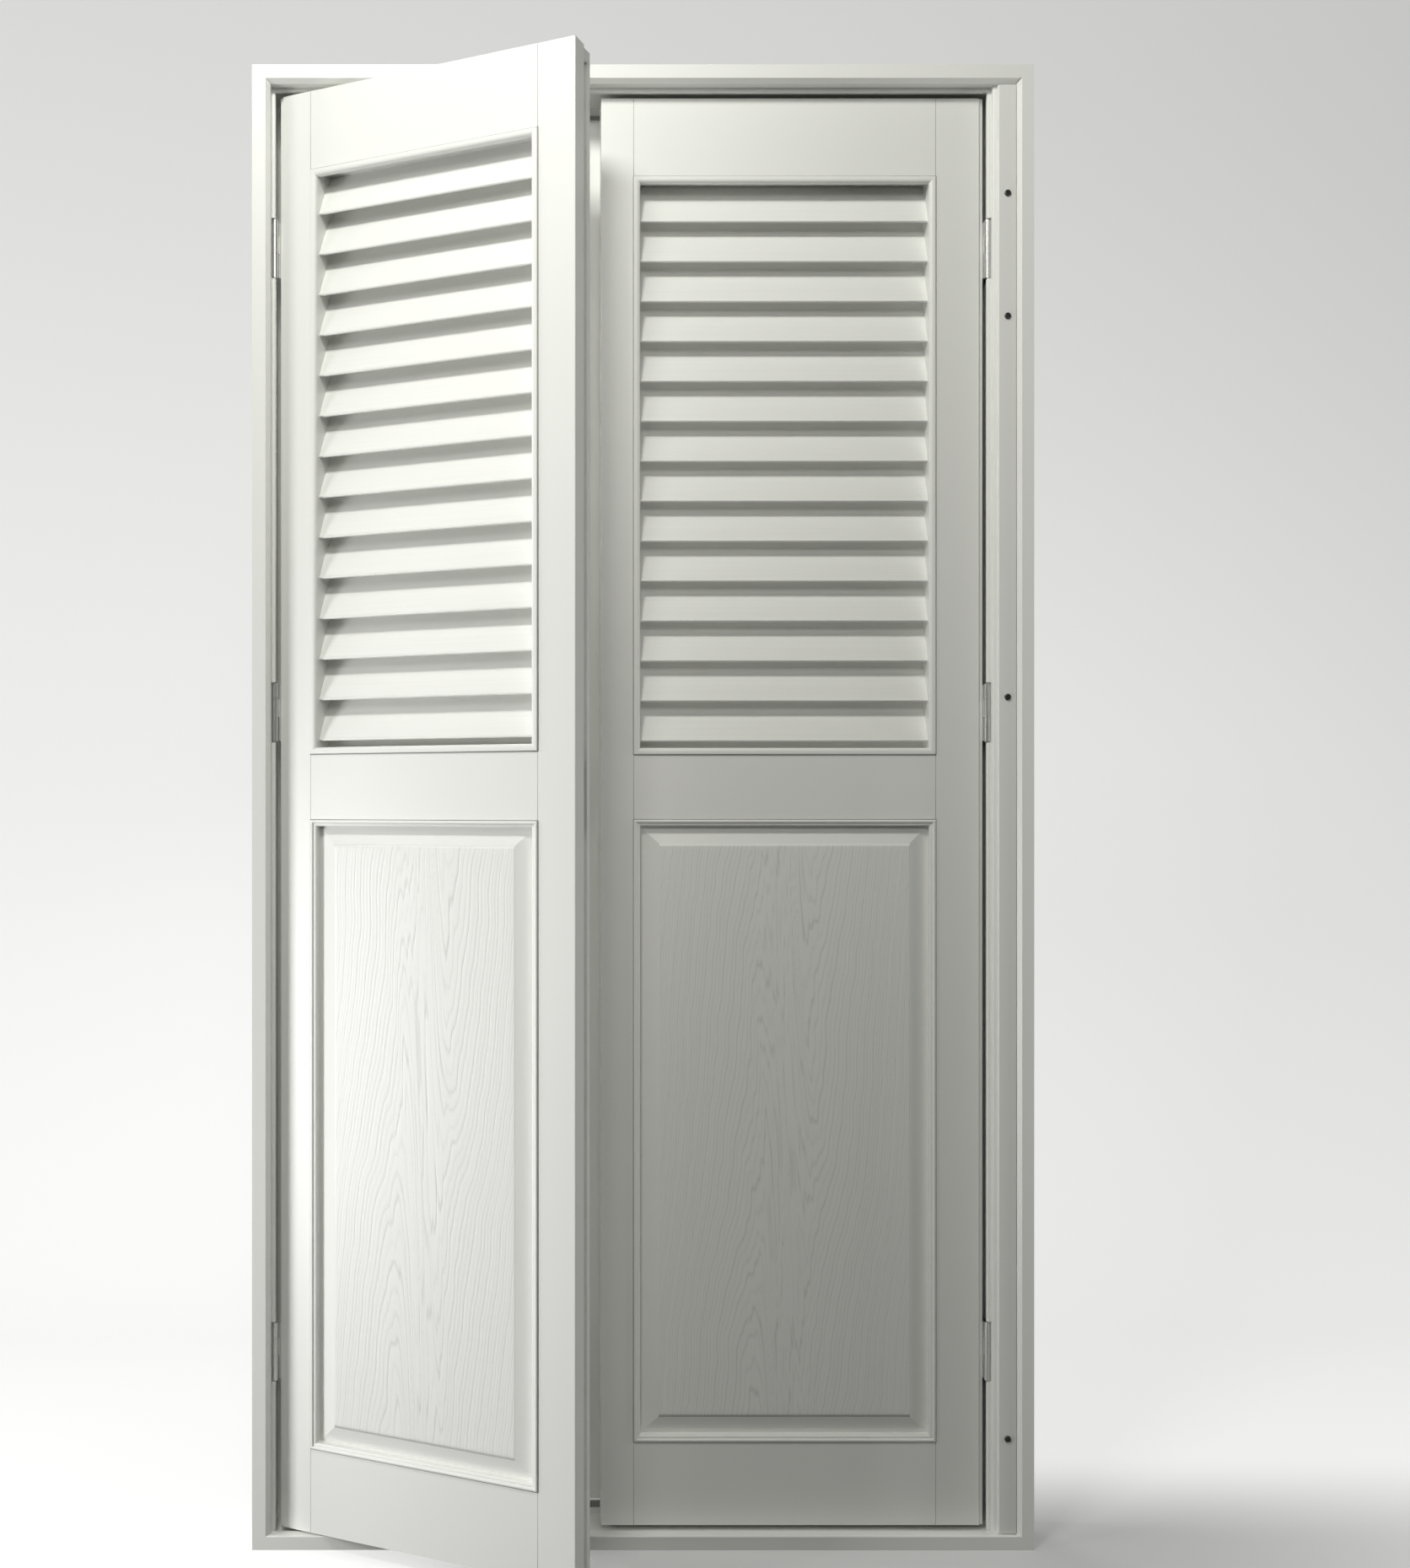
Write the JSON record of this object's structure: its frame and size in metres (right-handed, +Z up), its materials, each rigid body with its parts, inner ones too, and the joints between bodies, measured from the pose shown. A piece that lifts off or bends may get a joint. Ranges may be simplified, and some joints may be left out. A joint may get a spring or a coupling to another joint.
{
  "type": "louvred aluminium door shutter with frame",
  "caption": "White aluminium double door in its frame, with fixed louvre slats over raised panels; both leaves swing outward and one is open.",
  "frame": {"origin": "underside of the sill, at the middle of the frame's width and depth", "axes": "+X to the right seen from the front, +Y through the wall away from the viewer, +Z up"},
  "size_m": [1.106, 0.2634, 2.1],
  "materials": {
    "white_paint": "satin powder coat",
    "hinge_steel": "satin",
    "lock_steel": "dark satin",
    "dark_metal": "satin",
    "raw_aluminium": "mill",
    "rubber": "matt",
    "cap_plastic": "matt"
  },
  "bodies": {
    "frame": {"frame_head": "white_paint", "frame_sill": "white_paint", "frame_left_jamb": "white_paint", "frame_right_jamb": "white_paint", "frame_corner_cleats": "raw_aluminium", "frame_gasket": "rubber", "fixing_strip": "white_paint", "fixing_strip_screws": "hinge_steel", "frame_hinge_screws": "hinge_steel", "hinge_pins": "hinge_steel", "left_lower_frame_hinge_plate": "hinge_steel", "left_middle_frame_hinge_plate": "hinge_steel", "left_upper_frame_hinge_plate": "hinge_steel", "right_lower_frame_hinge_plate": "hinge_steel", "right_middle_frame_hinge_plate": "hinge_steel", "right_upper_frame_hinge_plate": "hinge_steel"},
    "left_leaf": {"left_hinge_stile": "white_paint", "left_meeting_stile": "white_paint", "left_top_rail": "white_paint", "left_middle_rail": "white_paint", "left_bottom_rail": "white_paint", "left_shear_blocks": "raw_aluminium", "left_louver_beads": "white_paint", "left_louver_slats": "white_paint", "left_panel_front": "white_paint", "left_panel_back": "white_paint", "left_panel_beads": "white_paint", "left_end_caps": "cap_plastic", "left_hinge_screws": "hinge_steel", "left_lower_hinge_plate": "hinge_steel", "left_middle_hinge_plate": "hinge_steel", "left_upper_hinge_plate": "hinge_steel", "lock_case": "lock_steel", "lock_faceplate": "lock_steel", "lock_screws": "hinge_steel", "thumb_turn_rose": "dark_metal"},
    "right_leaf": {"right_hinge_stile": "white_paint", "right_meeting_stile": "white_paint", "right_top_rail": "white_paint", "right_middle_rail": "white_paint", "right_bottom_rail": "white_paint", "right_shear_blocks": "raw_aluminium", "right_louver_beads": "white_paint", "right_louver_slats": "white_paint", "right_panel_front": "white_paint", "right_panel_back": "white_paint", "right_panel_beads": "white_paint", "right_end_caps": "cap_plastic", "right_hinge_screws": "hinge_steel", "right_lower_hinge_plate": "hinge_steel", "right_middle_hinge_plate": "hinge_steel", "right_upper_hinge_plate": "hinge_steel", "strike_plate": "lock_steel", "strike_screws": "hinge_steel", "flush_bolt_guides": "lock_steel", "astragal": "white_paint"},
    "lock_bolt": {"lock_bolt": "lock_steel"},
    "thumb_turn": {"thumb_turn": "dark_metal"},
    "upper_flush_bolt": {"upper_flush_bolt": "lock_steel"},
    "lower_flush_bolt": {"lower_flush_bolt": "lock_steel"}
  },
  "joints": [
    {"name": "left_leaf_hinge", "type": "hinge", "parent": "frame", "child": "left_leaf", "pos_m": [-0.5238, -0.024, 1.05], "axis": [0, 0, -1], "range_deg": [-25, 85]},
    {"name": "right_leaf_hinge", "type": "hinge", "parent": "frame", "child": "right_leaf", "pos_m": [0.4937, -0.024, 1.05], "axis": [0, 0, 1], "range_deg": [0, 110]},
    {"name": "thumb_turn_spindle", "type": "hinge", "parent": "left_leaf", "child": "thumb_turn", "pos_m": [-0.1144, -0.16636, 1.039], "axis": [0.4226, 0.9063, 0], "range_deg": [0, 90]},
    {"name": "lock_bolt_slide", "type": "slide", "parent": "left_leaf", "child": "lock_bolt", "axis": [0.9063, -0.4226, 0], "range_m": [0, 0.025]},
    {"name": "upper_flush_bolt_slide", "type": "slide", "parent": "right_leaf", "child": "upper_flush_bolt", "axis": [0, 0, 1], "range_m": [0, 0.02]},
    {"name": "lower_flush_bolt_slide", "type": "slide", "parent": "right_leaf", "child": "lower_flush_bolt", "axis": [0, 0, -1], "range_m": [0, 0.02]}
  ],
  "couplings": [
    {"joint": "thumb_turn_spindle", "follows": "lock_bolt_slide", "rad_per_m": 62.832}
  ]
}
